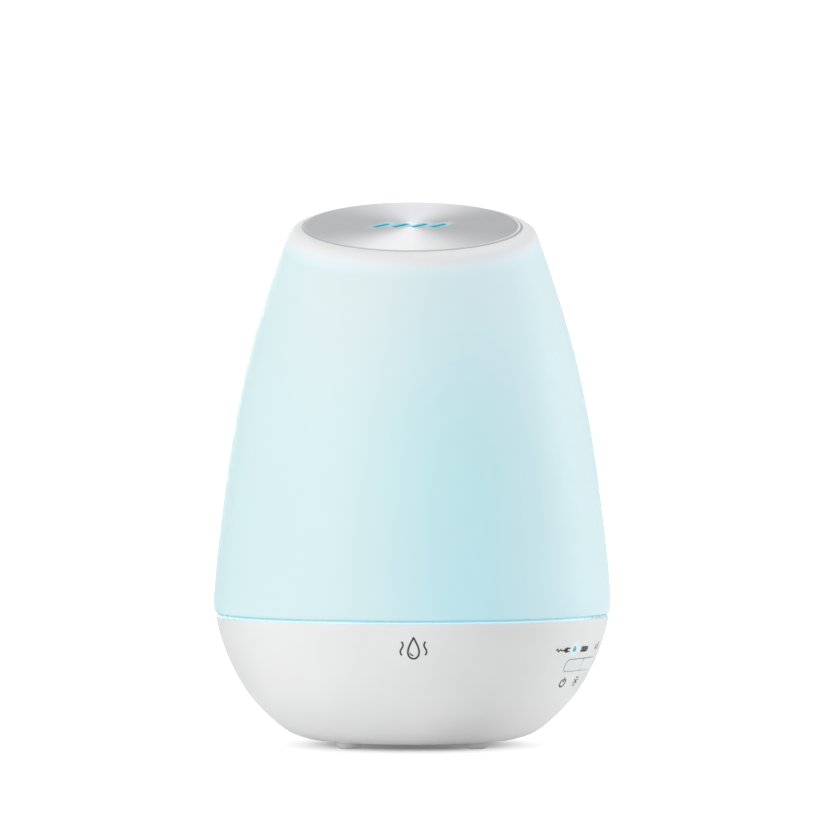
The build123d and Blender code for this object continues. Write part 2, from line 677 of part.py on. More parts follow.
# (x, z) corners of the cradle's end face
CRADLE_OUTLINE = [
    (-26.9, CRADLE_Z), (-40.0, CRADLE_Z), (-44.8, CRADLE_Z + 3.4),
    (-45.6, CRADLE_Z + 8.5), (-26.9, CRADLE_Z + 8.5)]
with BuildPart() as battery_cradle:
    with BuildSketch(Plane.XZ.offset(-26)):
        with BuildLine():
            Polyline(*CRADLE_OUTLINE, close=True)
        make_face()
        with Locations((CELL_X, CELL_Z)):
            Circle(CELL_R + 0.1, mode=Mode.SUBTRACT)
    extrude(amount=52)
    # tunnels for the two straps
    for y in STRAP_YS:
        with BuildSketch(Plane.XZ.offset(y - STRAP_W / 2 - 0.2)):
            with Locations((CELL_X, STRAP_Z)):
                Circle(STRAP_R + 0.1)
                Circle(STRAP_BORE - 0.08, mode=Mode.SUBTRACT)
        extrude(amount=STRAP_W + 0.4, mode=Mode.SUBTRACT)
    # screw holes and head recesses
    holes(CRADLE_POSTS, CRADLE_Z - 1, 4, 1.2)
    holes(CRADLE_POSTS, CRADLE_Z + 1.0, 8, 2.1)
save(battery_cradle, "battery_cradle")

with BuildPart() as cradle_screws:
    discs(CRADLE_POSTS, CRADLE_Z + 1.02, 1.2, HEAD_R)
    discs(CRADLE_POSTS, CRADLE_Z - 6.2, 7.3, 0.98)
save(cradle_screws, "cradle_screws")

with BuildPart() as battery_straps:
    for y in STRAP_YS:
        with BuildSketch(Plane.XZ.offset(y - STRAP_W / 2)):
            with Locations((CELL_X, STRAP_Z)):
                Circle(STRAP_R)
                Circle(STRAP_BORE, mode=Mode.SUBTRACT)
        extrude(amount=STRAP_W)
save(battery_straps, "battery_straps")

with BuildPart() as battery_tabs:
    for side in (1, -1):
        with Locations((CELL_X, side * (CELL_L / 2 + 0.15), CELL_Z - 1.0)):
            Box(6.0, 0.26, 11.0)
save(battery_tabs, "battery_tabs")

# ---------------------------------------------------------------- charge port
PORT_W, PORT_H = 8.94, 3.16
PORT_WALL = 0.3

with BuildPart() as charge_port:
    port_block(47.7, PORT_W, PORT_H, 1.5, 7.2)
    port_block(48.2, PORT_W - 2 * PORT_WALL, PORT_H - 2 * PORT_WALL, 1.2, 8,
               mode=Mode.SUBTRACT)
save(charge_port, "charge_port")

with BuildPart() as port_tongue:
    port_block(48.25, 8.2, 2.42, 1.15, 0.9)
    with Locations((0, 51.2, PORT_Z)):
        Box(6.7, 5.0, 0.7)
save(port_tongue, "port_tongue")

with BuildPart() as charge_board:
    with BuildSketch(Plane.XY.offset(15.65)):
        with Locations((0, 48.5)):
            Rectangle(17.0, 5.4)
        with Locations(*CHARGE_SCREWS):
            Circle(0.95, mode=Mode.SUBTRACT)
    extrude(amount=1.2)
save(charge_board, "charge_board")

with BuildPart() as charge_screws:
    discs(CHARGE_SCREWS, 16.87, 1.0, 1.5)
    discs(CHARGE_SCREWS, 14.0, 3.0, 0.7)
save(charge_screws, "charge_screws")

# ---------------------------------------------------------------- control panel
KEY_W = (POCKET_W - 3 * KEY_GAP - 0.1) / 2
KEY_H = POCKET_H - 2 * KEY_GAP
SWITCH_X = 6.7          # the switches stand this far either side of the panel's middle
SWITCH_BOARD_R = 53.55  # the board's inner face, from the Z axis
SWITCH_BOARD_T = 1.6
SWITCH_R = SWITCH_BOARD_R + SWITCH_BOARD_T + 0.02   # back of what stands on the board


def wedge(z0, z1, out, back, phi0, phi1):
    """Piece of the bowl's wall, from out mm to back mm inside its surface, phi0 to phi1."""
    outer = between(shifted(BASE, out, 1), z0, z1)
    inner = between(shifted(BASE, back, 1), z0, z1)
    with BuildPart(mode=Mode.PRIVATE) as piece:
        with BuildSketch(wedge_plane(phi0)):
            with BuildLine():
                Spline(*outer)
                Line(outer[-1], inner[-1])
                Spline(*inner[::-1])
                Line(inner[0], outer[0])
            make_face()
        revolve(axis=Axis.Z, revolution_arc=phi1 - phi0)
    return piece.part


# key name, its plunger's name, side of the panel's middle, bearings of its flange from there
KEYS = [("power_button", "power_switch_plunger", -1, (-13.2, -0.25)),
        ("light_button", "light_switch_plunger", 1, (0.25, 13.2))]
for key_name, plunger_name, side, (flange0, flange1) in KEYS:
    with BuildPart() as key:
        # cap: follows the bowl's curve, with its outline running straight back
        add(wedge(26.6, 33.0, -KEY_PROUD, 3.2, PANEL_PHI - 17, PANEL_PHI + 17))
        with BuildSketch(radial_plane(PANEL_PHI, 50, KEY_Z)):
            with Locations((side * (KEY_W / 2 + KEY_GAP / 2 + 0.05), 0)):
                RectangleRounded(KEY_W, KEY_H, 1.0)
            RectangleRounded(POCKET_W - 2 * KEY_GAP, KEY_H, 1.9, mode=Mode.INTERSECT)
        extrude(amount=30, mode=Mode.INTERSECT)
        # flange that stops the key from coming out
        add(wedge(26.7, 32.9, 2.62, 3.7, PANEL_PHI + flange0, PANEL_PHI + flange1))
        # stem that reaches the switch
        radial_rod(PANEL_PHI, 58.35, KEY_Z, 3.6, 1.6, side * SWITCH_X)
    save(key, key_name)
    with BuildPart() as plunger:
        radial_rod(PANEL_PHI, 56.2, KEY_Z, 2.1, 1.2, side * SWITCH_X)
    save(plunger, plunger_name)

with BuildPart() as switch_board:
    with BuildSketch(radial_plane(PANEL_PHI, SWITCH_BOARD_R, 30.0)):
        RectangleRounded(34.4, 15.4, 2.0)
    extrude(amount=SWITCH_BOARD_T)
    for across, z in PANEL_SCREWS:
        radial_rod(PANEL_PHI, 53, z, 3, CLEAR_R, across, mode=Mode.SUBTRACT)
save(switch_board, "switch_board")

with BuildPart() as switch_board_screws:
    for across, z in PANEL_SCREWS:
        radial_rod(PANEL_PHI, 52.1, z, 1.43, HEAD_R, across)
        radial_rod(PANEL_PHI, 53.4, z, 5.2, 0.9, across)
save(switch_board_screws, "switch_board_screws")

with BuildPart() as tact_switches:
    for side in (-1, 1):
        with BuildSketch(radial_plane(PANEL_PHI, SWITCH_R, KEY_Z)):
            with Locations((side * SWITCH_X, 0)):
                Rectangle(5.0, 5.0)
        extrude(amount=2.0)
        radial_rod(PANEL_PHI, 55.45, KEY_Z, 3.0, 1.26, side * SWITCH_X, mode=Mode.SUBTRACT)
save(tact_switches, "tact_switches")

with BuildPart() as indicator_leds:
    for phi in LENS_PHI:
        with BuildSketch(radial_plane(PANEL_PHI, SWITCH_R, LENS_Z)):
            with Locations((60.0 * math.sin(math.radians(phi - PANEL_PHI)), 0)):
                Rectangle(2.0, 1.4)
        extrude(amount=0.8)
save(indicator_leds, "indicator_leds")

for name, phi in zip(("power_indicator_lens", "battery_indicator_lens"), LENS_PHI):
    with BuildPart() as lens:
        radial_rod(phi, 58.2, LENS_Z, 9.1, LENS_R)
        rims = lens.edges().filter_by(GeomType.CIRCLE)
        fillet(rims.sort_by_distance(bearing(phi, 80, LENS_Z))[0], 0.3)
        # collar that stops the light pipe against the inside of the wall
        radial_rod(phi, 62.0, LENS_Z, 1.6, LENS_R + 0.35)
    save(lens, name)


# ---------------------------------------------------------------- wiring
def insulated(points, radius):
    """A round insulated wire along the points."""
    with BuildPart(mode=Mode.PRIVATE) as wire:
        with BuildLine() as path:
            Spline(*points)
        with BuildSketch(Plane(origin=path.line @ 0, z_dir=path.line % 0)):
            Circle(radius)
        sweep(path=path.line)
    return wire.part


def wire_pair(name, points, sides, gap=1.3, radius=0.5):
    """Two wires side by side; sides gives the direction between them at each point."""
    with BuildPart() as pair:
        for k in (-0.5, 0.5):
            path = [tuple(p[i] + k * gap * d[i] for i in range(3)) for p, d in zip(points, sides)]
            add(insulated(path, radius))
    save(pair, name)


X, Z = (1, 0, 0), (0, 0, 1)
END = PARTS_Z + 2.0     # the wires end here, inside their connectors
ENTRY = 19.5            # height at which most of them turn down into the connector

wire_pair("piezo_wires",
          [(0, 0, 41.25), (0, 0, 36), (5, 1.8, 28), (*PIEZO_PLUG, 22), (*PIEZO_PLUG, END)],
          [(-0.34, 0.94, 0)] * 5)
wire_pair("fan_wires",
          [(-3, 14.5, 19.3), (-3, 12.4, 20.3), (-3, 9.3, 19.6), (*FAN_PLUG, END)],
          [X] * 4)
wire_pair("light_wires",
          [(0, CABLE_HOLE_Y, 40.4), (0, -48.2, 36), (0, -41, 28), (0, -33, 24),
           (*LIGHT_PLUG, ENTRY), (*LIGHT_PLUG, END)],
          [X] * 6)
wire_pair("charge_wires",
          [(9.2, 48.2, 17.0), (13.2, 47.0, 18.0), (16.85, 40, 19.5), (16.85, 22, 21),
           (16.6, 2, 25), (12.6, -14.5, 22.5), (*CHARGE_PLUG, ENTRY), (*CHARGE_PLUG, END)],
          [Z, (0, -0.5, 0.86)] + [X] * 6)
wire_pair("switch_wires",
          [bearing(PANEL_PHI, 53.4, 27.0), bearing(PANEL_PHI, 48.0, 27.4), (30, -12, 27),
           (15.5, -4, 23.5), (*SWITCH_PLUG, ENTRY), (*SWITCH_PLUG, END)],
          [(0.45, 0.89, 0)] * 6)

# one wire from each end of the cell: front first, then back
BATTERY_WIRE_PATHS = [
    [(-36, -33.7, 24), (-33, -34.1, 19.6), (-23, -30.8, 19.4), (-15.6, -26.9, 21.5),
     (-15.05, -26.2, 19), (-15.05, -26.2, END)],
    [(-36, 33.7, 24), (-31.5, 34.0, 25.6), (-25.6, 32.8, 27.6), (-18.5, 27.5, 29.5),
     (-15.2, 10, 28), (-13.7, -14, 26), (-13.7, -24.8, 22), (-13.7, -26.2, 19),
     (-13.7, -26.2, END)]]
with BuildPart() as battery_wires:
    for path in BATTERY_WIRE_PATHS:
        add(insulated(path, 0.55))
save(battery_wires, "battery_wires")

# ================================================================ outer cover body
OUTLET_R = 31.0         # opening under the metal disc
SEAT_DEPTH = DISC_T - DISC_PROUD
STUD_R = 1.1
STUD_HOLE_R = 1.35
SLOT_SPOTS = [((i - 1.5) * SLOT_PITCH - 0.8, 1.0) for i in range(4)]

with BuildPart() as cover_outer:
    turned([(0, COVER[-1][1]), (0, COVER_Z0)], curve=pick(COVER, 30))
    split(bisect_by=TOP, keep=Keep.BOTTOM)
    rim = cover_outer.faces().filter_by(GeomType.PLANE).sort_by(Axis((0, 0, 0), TOP.z_dir))[-1]
    fillet(rim.outer_wire().edges(), 4.0)
    fillet(cover_outer.edges().filter_by(GeomType.CIRCLE).group_by(Axis.Z)[0], 1.5)

cover_inside = pick(shifted(COVER, WALL_COVER, -1), 30)
with BuildPart() as cover_inner:
    turned([(0, cover_inside[-1][1]), (0, COVER_Z0 - 2), (cover_inside[0][0], COVER_Z0 - 2)],
           curve=cover_inside)
    split(bisect_by=TOP.offset(-3.0), keep=Keep.BOTTOM)
    lid = cover_inner.faces().filter_by(GeomType.PLANE).sort_by(Axis((0, 0, 0), TOP.z_dir))[-1]
    fillet(lid.outer_wire().edges(), 2.0)

with BuildPart() as cover_shell:
    add(cover_outer.part)
    add(cover_inner.part, mode=Mode.SUBTRACT)
    # seat for the metal disc
    holes(CENTRE, -SEAT_DEPTH, 10, DISC_R + 0.12, plane=TOP)
    # opening under the disc, and the stud holes
    with BuildSketch(TOP.offset(-6)):
        Circle(OUTLET_R)
        with Locations(*STUDS):
            Circle(STUD_HOLE_R)
    extrude(amount=10, mode=Mode.SUBTRACT)
save(cover_shell, "cover_shell")

with BuildPart() as top_disc:
    discs(CENTRE, -SEAT_DEPTH + 0.01, DISC_T, DISC_R, plane=TOP)
    chamfer(top_disc.edges().filter_by(GeomType.CIRCLE).sort_by(Axis.Z)[-1], 0.5)
    with BuildSketch(TOP.offset(-4)):
        with Locations(*SLOT_SPOTS):
            SlotOverall(SLOT_LEN, SLOT_W, rotation=SLOT_ANGLE)
    extrude(amount=8, mode=Mode.SUBTRACT)
    # studs through the cover's ledge
    discs(STUDS, -7.6, 6.8, STUD_R, plane=TOP)
save(top_disc, "top_disc")

# plate under the disc, with hollow lips that line the mist slots
with BuildPart() as outlet_insert:
    discs(CENTRE, -2.9, 1.85, OUTLET_R - 0.2, plane=TOP)
    with BuildSketch(TOP.offset(-2.0)):
        with Locations(*SLOT_SPOTS):
            SlotOverall(SLOT_LEN - 0.16, SLOT_W - 0.16, rotation=SLOT_ANGLE)
    extrude(amount=2.25)
    with BuildSketch(TOP.offset(-4)):
        with Locations(*SLOT_SPOTS):
            SlotOverall(SLOT_LEN - 1.3, SLOT_W - 1.3, rotation=SLOT_ANGLE)
    extrude(amount=8, mode=Mode.SUBTRACT)
save(outlet_insert, "outlet_insert")

# (radius, height) outlines of the chimney's outside and bore
CHIMNEY_OUTSIDE = [
    (0, 131.0), (14.4, 131.0), (14.4, 150.0), (19.5, 168.0), (19.5, 196.0), (0, 196.0)]
CHIMNEY_BORE = [
    (0, 130.0), (13.0, 130.0), (13.0, 150.3), (18.0, 168.3), (18.0, 196.0), (0, 196.0)]
with BuildPart() as mist_chimney:
    discs(CENTRE, -4.9, 1.88, 37.2, plane=TOP)
    turned(CHIMNEY_OUTSIDE)
    split(bisect_by=TOP.offset(-3.02), keep=Keep.BOTTOM)
    turned(CHIMNEY_BORE, mode=Mode.SUBTRACT)
    holes(STUDS, -8, 8, STUD_HOLE_R, plane=TOP)
save(mist_chimney, "mist_chimney")

with BuildPart() as push_nuts:
    discs(STUDS, -5.6, 0.5, 2.9, bore=STUD_R + 0.02, plane=TOP)
save(push_nuts, "push_nuts")

# ================================================================ tank lid body
# (radius, height): up the spout's bore, under the lid, round the skirt and back over the top
LID_OUTLINE = [
    (8.2, 136.5), (8.2, 106.0), (11.5, 102.4), (26.0, 98.4), (42.0, 92.1), (45.35, 92.1),
    (45.35, 87.5), (46.9, 87.5), (46.9, 93.0), (45.6, 94.2), (42.6, 94.4), (27.0, 100.3),
    (13.2, 104.2), (10.0, 107.6), (9.6, 136.5)]
with BuildPart() as tank_lid:
    turned(LID_OUTLINE)
    # breathing notches in the rim's skirt
    with BuildSketch(Plane.XY.offset(87)):
        with PolarLocations(46.0, 4, 0):
            Rectangle(4.0, 8.0)
    extrude(amount=3.0, mode=Mode.SUBTRACT)
save(tank_lid, "tank_lid")
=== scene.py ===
# A round mist maker: a white bowl below, a frosted cover above, a ring of light in the seam
# between them and, on top, a slanted metal disc with four lit slots. It stands on the floor
# at z = 0 around the Z axis, its front towards -Y and its right side towards +X.
# Bearings turn about Z, from 0 at the front, positive towards +X.
import json
import math

import bmesh
import bpy
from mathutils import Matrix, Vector
from mathutils.bvhtree import BVHTree


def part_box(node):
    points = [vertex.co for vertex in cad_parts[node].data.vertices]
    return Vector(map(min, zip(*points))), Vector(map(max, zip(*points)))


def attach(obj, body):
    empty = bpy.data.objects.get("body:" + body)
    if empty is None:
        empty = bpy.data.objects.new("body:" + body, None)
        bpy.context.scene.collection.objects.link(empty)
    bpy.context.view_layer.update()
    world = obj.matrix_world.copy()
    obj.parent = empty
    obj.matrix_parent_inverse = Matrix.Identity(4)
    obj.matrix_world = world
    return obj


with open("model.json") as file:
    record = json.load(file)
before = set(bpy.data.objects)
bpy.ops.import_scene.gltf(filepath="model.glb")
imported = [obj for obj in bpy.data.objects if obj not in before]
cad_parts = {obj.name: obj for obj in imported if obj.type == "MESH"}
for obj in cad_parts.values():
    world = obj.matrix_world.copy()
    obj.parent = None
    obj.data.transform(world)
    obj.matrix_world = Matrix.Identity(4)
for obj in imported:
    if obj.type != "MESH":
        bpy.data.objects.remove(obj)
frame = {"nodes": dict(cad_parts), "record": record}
# the CAD's own materials give up their names to the ones made here
for m in bpy.data.materials:
    m.name = "cad_" + m.name
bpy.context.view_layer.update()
nodes = frame["nodes"]
MM = 0.001


# ------------------------------------------------------------------ places read from the CAD
def centre(node):
    low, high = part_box(node)
    return (low + high) / 2


def key_bearing():
    """Bearing of the middle of the two keys, in degrees."""
    middle = (centre("power_button") + centre("light_button")) / 2
    return math.degrees(math.atan2(middle.x, -middle.y))


def disc_plane():
    """Origin, upward normal and front-to-back direction of the metal disc's top plane."""
    points = [v.co.copy() for v in nodes["top_disc"].data.vertices]
    back = max(points, key=lambda p: p.y + p.z)
    front = min(points, key=lambda p: p.y - 0.2 * p.z)
    run = Vector((0, back.y - front.y, back.z - front.z)).normalized()
    normal = Vector((0, -run.z, run.y))
    highest = max(points, key=lambda p: p.dot(normal))
    middle = (back + front) / 2
    origin = Vector((0, middle.y, middle.z))
    origin += normal * (highest - origin).dot(normal)
    return origin, normal, run


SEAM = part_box("base_shell")[1].z        # top edge of the bowl
KEYS = key_bearing()
DISC_ORIGIN, DISC_NORMAL, DISC_RUN = disc_plane()

# slots of the disc: sloping, side by side; places are (right, back) from the disc's origin
SLOT_MIDDLE = (-0.8 * MM, 1.0 * MM)
SLOT_SLOPE = math.radians(46)
SLOT_PITCH = 6.75 * MM                  # along the row
SLOT_ROW_HALF = 2 * SLOT_PITCH
SLOT_STRAIGHT_HALF = 2.85 * MM          # half length between the round ends' centres
SLOT_RADIUS = 1.65 * MM


# ------------------------------------------------------------------ shader graphs
class Value:
    """A node's output. Arithmetic on it adds Math nodes."""

    def __init__(self, graph, node, output=0):
        self.graph = graph
        self.socket = node.outputs[output]

    def op(self, kind, *others):
        return self.graph.math(kind, self, *others)

    def __add__(self, other):
        return self.op("ADD", other)

    def __radd__(self, other):
        return self.graph.math("ADD", other, self)

    def __sub__(self, other):
        return self.op("SUBTRACT", other)

    def __rsub__(self, other):
        return self.graph.math("SUBTRACT", other, self)

    def __mul__(self, other):
        return self.op("MULTIPLY", other)

    def __truediv__(self, other):
        return self.op("DIVIDE", other)

    def __pow__(self, power):
        return self.op("POWER", power)

    def __abs__(self):
        return self.op("ABSOLUTE")

    def at_least(self, floor):
        return self.op("MAXIMUM", floor)

    def dim(self, amount):
        """1, less this value times amount."""
        return self.op("MULTIPLY_ADD", -amount, 1.0)

    def decay(self, length):
        """Exponential fall from 1, to 1/e at the given length."""
        return (self * (-1.0 / length)).op("EXPONENT")

    def bell(self, power=2.0):
        """Bell curve, 1 at 0 and 1/e at 1."""
        return (self ** power * -1.0).op("EXPONENT")

    def repeat(self, shift, period):
        """Distance from the nearest of a row of centres one period apart."""
        return (self + shift).op("FLOORED_MODULO", period) - period / 2

    def fade(self, start, end, low=0.0, high=1.0, smooth=True):
        """low at start, high at end."""
        node = self.graph.add("MapRange", dict(enumerate((self, start, end, low, high))),
                              interpolation_type="SMOOTHSTEP" if smooth else "LINEAR")
        return Value(self.graph, node)

    def band(self, first, second, high=1.0):
        """A plateau between two edges, each given as (where it is 0, where it is full)."""
        return self.fade(*first) * self.fade(*second, high=high)

    def mix(self, low, high):
        """Colour mix, low where this value is 0 and high where it is 1."""
        return self.graph.mix(self, low, high)

    def layer(self, blend, other):
        """This colour with another laid over it at full strength."""
        return self.graph.mix(1.0, self, other, blend)


class Graph:
    """The node tree of a material or world, emptied, with calls that add nodes."""

    def __init__(self, owner):
        owner.use_nodes = True
        self.tree = owner.node_tree
        self.tree.nodes.clear()
        self.coordinates = self.add("TexCoord")

    def wire(self, socket, value):
        if isinstance(value, Value):
            self.tree.links.new(value.socket, socket)
        elif socket.type == "RGBA":
            socket.default_value = (*value, 1.0)
        else:
            socket.default_value = value

    def add(self, kind, inputs=None, **properties):
        node = self.tree.nodes.new("ShaderNode" + kind)
        for name, value in properties.items():
            setattr(node, name, value)
        for key, value in (inputs or {}).items():
            self.wire(node.inputs[key], value)
        return node

    def coord(self, space="Object"):
        return Value(self, self.coordinates, space)

    def math(self, operation, *values):
        return Value(self, self.add("Math", dict(enumerate(values)), operation=operation))

    def vector_math(self, operation, a, b):
        node = self.add("VectorMath", {0: a, 1: b}, operation=operation)
        return Value(self, node, "Vector" if operation == "SUBTRACT" else "Value")

    def split(self, vector):
        node = self.add("SeparateXYZ", {0: vector})
        return [Value(self, node, i) for i in range(3)]

    def join(self, kind, *parts):
        return Value(self, self.add("Combine" + kind, dict(enumerate(parts))))

    def mix(self, factor, low, high, blend="MIX"):
        node = self.add("Mix", {0: factor, 6: low, 7: high}, data_type="RGBA", blend_type=blend)
        return Value(self, node, 2)

    def camera_ray(self):
        return Value(self, self.add("LightPath"), "Is Camera Ray")

    def noise(self, scale, detail=2.0, roughness=0.5, vector=None):
        return Value(self, self.add("TexNoise", {
            "Vector": vector or self.coord(), "Scale": scale,
            "Detail": detail, "Roughness": roughness}))

    def patches(self, scale, detail, low=0.0, high=1.0, edges=(0.3, 0.7)):
        """Soft noise patches; edges is the part of the noise spread over low to high."""
        return self.noise(scale, detail).fade(*edges, low=low, high=high)

    def from_disc(self):
        """Position relative to the disc's origin."""
        return self.vector_math("SUBTRACT", self.coord(), tuple(DISC_ORIGIN))

    def above_disc(self):
        """Height over the disc's plane."""
        return self.vector_math("DOT_PRODUCT", self.from_disc(), tuple(DISC_NORMAL))


MATERIALS = {}


class Material(Graph):
    """A Principled material, kept in MATERIALS under its name."""

    SOCKETS = {
        "color": "Base Color", "roughness": "Roughness", "metallic": "Metallic",
        "specular": "Specular IOR Level", "coat": "Coat Weight",
        "coat_roughness": "Coat Roughness", "glow": "Emission Color",
        "glow_strength": "Emission Strength", "normal": "Normal"}

    def __init__(self, name):
        MATERIALS[name] = bpy.data.materials.new(name)
        super().__init__(MATERIALS[name])
        self.principled = self.add("BsdfPrincipled")
        self.add("OutputMaterial", {"Surface": Value(self, self.principled)})

    def surface(self, **values):
        if "glow" in values:
            values.setdefault("glow_strength", 1.0)
        for name, value in values.items():
            self.wire(self.principled.inputs[self.SOCKETS[name]], value)

    def bump(self, height, strength, distance=0.00003):
        node = self.add("Bump", {"Strength": strength, "Distance": distance, "Height": height})
        self.surface(normal=Value(self, node))


def bearing_of(x, y):
    """Bearing in radians, -pi to pi."""
    return x.op("ARCTAN2", y * -1.0)


def radius_of(x, y):
    return (x * x + y * y).op("SQRT")


def grey(level):
    return (level, level, level)


BLACK = grey(0.0)


def moulded(name, colour, rough, vary, grain, grain_scale=2600.0, specular=0.35):
    """Moulded plastic or rubber: faint mottling, uneven gloss and a fine moulding grain."""
    mat = Material(name)
    mottle = mat.patches(scale=45.0, detail=3.0, edges=(0.35, 0.65))
    mat.surface(
        color=mottle.mix(low=tuple(c * (1 - vary) for c in colour),
                         high=tuple(min(1.0, c * (1 + vary)) for c in colour)),
        roughness=mat.patches(scale=160.0, detail=3.0, low=rough - 0.05, high=rough + 0.05),
        specular=specular)
    mat.bump(mat.noise(grain_scale, roughness=0.6), strength=grain, distance=0.00004)
    return mat


def metal(name, colour, rough=0.32, vary=0.06, scale=(900.0, 900.0, 60.0), bump=0.08):
    """Drawn or machined metal: streaks along one direction and slight tarnish."""
    mat = Material(name)
    stretched = Value(mat, mat.add("Mapping", {"Vector": mat.coord(), "Scale": scale}))
    streak = mat.noise(scale=1.0, detail=3.0, roughness=0.6, vector=stretched)
    tarnish = mat.patches(scale=120.0, detail=3.0, edges=(0.3, 0.75))
    mat.surface(
        color=tarnish.mix(low=colour, high=tuple(c * (1 - 2 * vary) for c in colour)),
        metallic=1.0,
        roughness=streak.fade(start=0.25, end=0.75, low=rough - 0.08, high=rough + 0.1))
    mat.bump(streak, strength=bump, distance=0.00004)


# ------------------------------------------------------------------ materials
def base_white():
    """Satin white bowl, with painted shade on its sides, and painted light from the ring of
    light along the seam and round the lit window.
    """
    mat = Material("base_white")
    x, y, z = mat.split(mat.coord())
    bearing = bearing_of(x, y)
    # painted shade: darker on the left side, in a belt on the right side, and low on the front
    # right
    left = (bearing.band(first=(-0.78, -1.42), second=(-2.5, -1.9))
            * z.fade(start=0.012, end=0.026, high=0.092))
    right = (bearing.band(first=(1.08, 1.34), second=(2.3, 1.8))
             * z.band(first=(0.042, 0.030), second=(0.016, 0.024), high=0.075))
    low = (bearing.band(first=(-0.05, 0.35), second=(0.85, 0.45))
           * z.fade(start=0.016, end=0.005, low=0.026, high=0.10))
    shade = 1.0 - (left + right + low)
    cloud = mat.patches(scale=30.0, detail=3.0, edges=(0.35, 0.65))
    white = cloud.mix(low=(0.835, 0.836, 0.838), high=(0.862, 0.862, 0.860))

    # painted light: the ring's light on the bowl just below the seam, and the lit window's light
    # round it
    painted_seam_light = (SEAM - z).decay(length=0.45 * MM)
    lens = centre("power_indicator_lens")
    window_radius = 0.0668
    painted_window_light_radius = 2.3 * MM
    on_wall = Vector((lens.x, lens.y, 0)).normalized() * window_radius
    distance = mat.vector_math("DISTANCE", mat.coord(), (on_wall.x, on_wall.y, lens.z))
    painted_window_light = (distance / painted_window_light_radius).bell()
    mat.surface(
        color=white.layer("MULTIPLY", shade),
        roughness=mat.patches(scale=220.0, detail=4.0, low=0.42, high=0.54),
        specular=0.14,
        glow=painted_seam_light.mix(low=BLACK, high=(0.0, 0.05, 0.075)).layer(
            "ADD", painted_window_light.mix(low=BLACK, high=(0.0, 0.17, 0.22))))
    mat.bump(mat.noise(scale=3200.0, roughness=0.6), strength=0.10)


def cover_frosted():
    """Frosted cover with a painted glow of the lamps inside: plain white at the rim, with
    painted shade in three lobes of deeper colour round it.
    """
    mat = Material("cover_frosted")
    x, y, z = mat.split(mat.coord())
    height = mat.above_disc()
    lit = (height * -1.0).fade(start=1.7 * MM, end=7.6 * MM)
    tinted = (height * -1.0).fade(start=1.0 * MM, end=7.1 * MM)
    bearing = bearing_of(x, y)
    third = 2 * math.pi / 3

    def from_nearest(middle):
        return (bearing - math.radians(middle)).repeat(shift=third / 2, period=third)

    # painted shade: three lobes of deeper colour round the cover, and wings beside them; widths
    # in degrees
    shade_lobe = abs(from_nearest(middle=15) / math.radians(23)).bell(power=2.2)
    shade_wing = abs(from_nearest(middle=54) / math.radians(21)).bell()
    lobe_red = z.fade(start=0.090, end=0.172, low=0.099, high=0.029, smooth=False)
    wing_red = z.fade(start=0.110, end=0.150, low=0.008, high=0.040)
    plain_red = z.fade(start=0.100, end=0.168, low=0.106, high=0.166)
    lobe_green = z.fade(start=0.100, end=0.070, high=0.016)
    soft = mat.patches(scale=16.0, detail=2.0, low=0.97, high=1.03)
    # painted shade on the left side, painted light on the right side
    left = bearing.band(first=(-1.10, -1.42), second=(-2.2, -1.75))
    right = (bearing.band(first=(1.00, 1.28), second=(2.2, 1.75))
             * z.fade(start=0.158, end=0.125))
    red = (plain_red * soft - shade_lobe * lobe_red - shade_wing * wing_red).at_least(0.0)
    red = red * left.dim(amount=0.14) + right * 0.034
    green = left.dim(amount=0.15) * 0.260 + right * 0.018 - shade_lobe * lobe_green
    blue = left.dim(amount=0.15) * 0.387 + right * 0.018
    body = lit.mix(low=(0.86, 0.86, 0.865), high=(0.60, 0.61, 0.50))
    mat.surface(
        color=body.layer("MULTIPLY", left.dim(amount=0.06)),
        glow=mat.join("Color", red * lit, soft * green * tinted, soft * blue * tinted),
        roughness=mat.patches(scale=260.0, detail=4.0, low=0.40, high=0.52),
        specular=0.14)
    mat.bump(mat.noise(scale=3600.0, roughness=0.6), strength=0.08)


def ring_diffuser():
    """Light ring, brightest at its foot, with a painted shadow of the cover's rim on its top
    part and painted shade on its right side.
    """
    mat = Material("ring_diffuser")
    x, y, z = mat.split(mat.coord())
    # painted shade: weaker on the right side; painted shadow of the cover's rim on the top part
    right = bearing_of(x, y).band(first=(0.96, 1.20), second=(2.2, 1.8), high=0.55)
    painted_cover_shadow = z.fade(start=SEAM + 0.25 * MM, end=SEAM + 0.70 * MM)
    mat.surface(
        color=mat.noise(scale=90.0).mix(low=(0.40, 0.55, 0.60), high=(0.44, 0.60, 0.64)),
        glow=painted_cover_shadow.mix(low=(0.33, 0.44, 0.48), high=(0.05, 0.16, 0.18)),
        glow_strength=1.0 - right,
        roughness=mat.patches(scale=400.0, detail=2.0, low=0.25, high=0.35))


# painted highlights of the brushed disc, its brightness round its centre: (degrees from the
# front, tone)
PAINTED_FAN_HIGHLIGHTS = [
    (-180, .863), (-168, .801), (-156, .683), (-144, .601), (-132, .531), (-120, .485),
    (-100, .485), (-72, .484), (-60, .522), (-48, .609), (-36, .743), (-24, .889),
    (-12, .965), (0, .965), (12, .855), (24, .736), (36, .609), (48, .543), (60, .507),
    (72, .470), (90, .483), (120, .473), (132, .523), (144, .630), (156, .755),
    (168, .854), (180, .863)]
PAINTED_HIGHLIGHT_TINT = (1.03, 1.035, 1.06)


def painted_fan_highlights(mat, angle):
    """Painted highlights: the fan-shaped reflections that circular brushing gives, painted into
    the colour.
    """
    node = mat.add("ValToRGB", {0: (angle + math.pi) / (2 * math.pi)})
    stops = node.color_ramp.elements
    while len(stops) < len(PAINTED_FAN_HIGHLIGHTS):
        stops.new(0.5)
    for stop, (degrees, tone) in zip(stops, PAINTED_FAN_HIGHLIGHTS):
        stop.position = (degrees + 180) / 360
        stop.color = (*(tone * tint for tint in PAINTED_HIGHLIGHT_TINT), 1.0)
    return Value(mat, node)


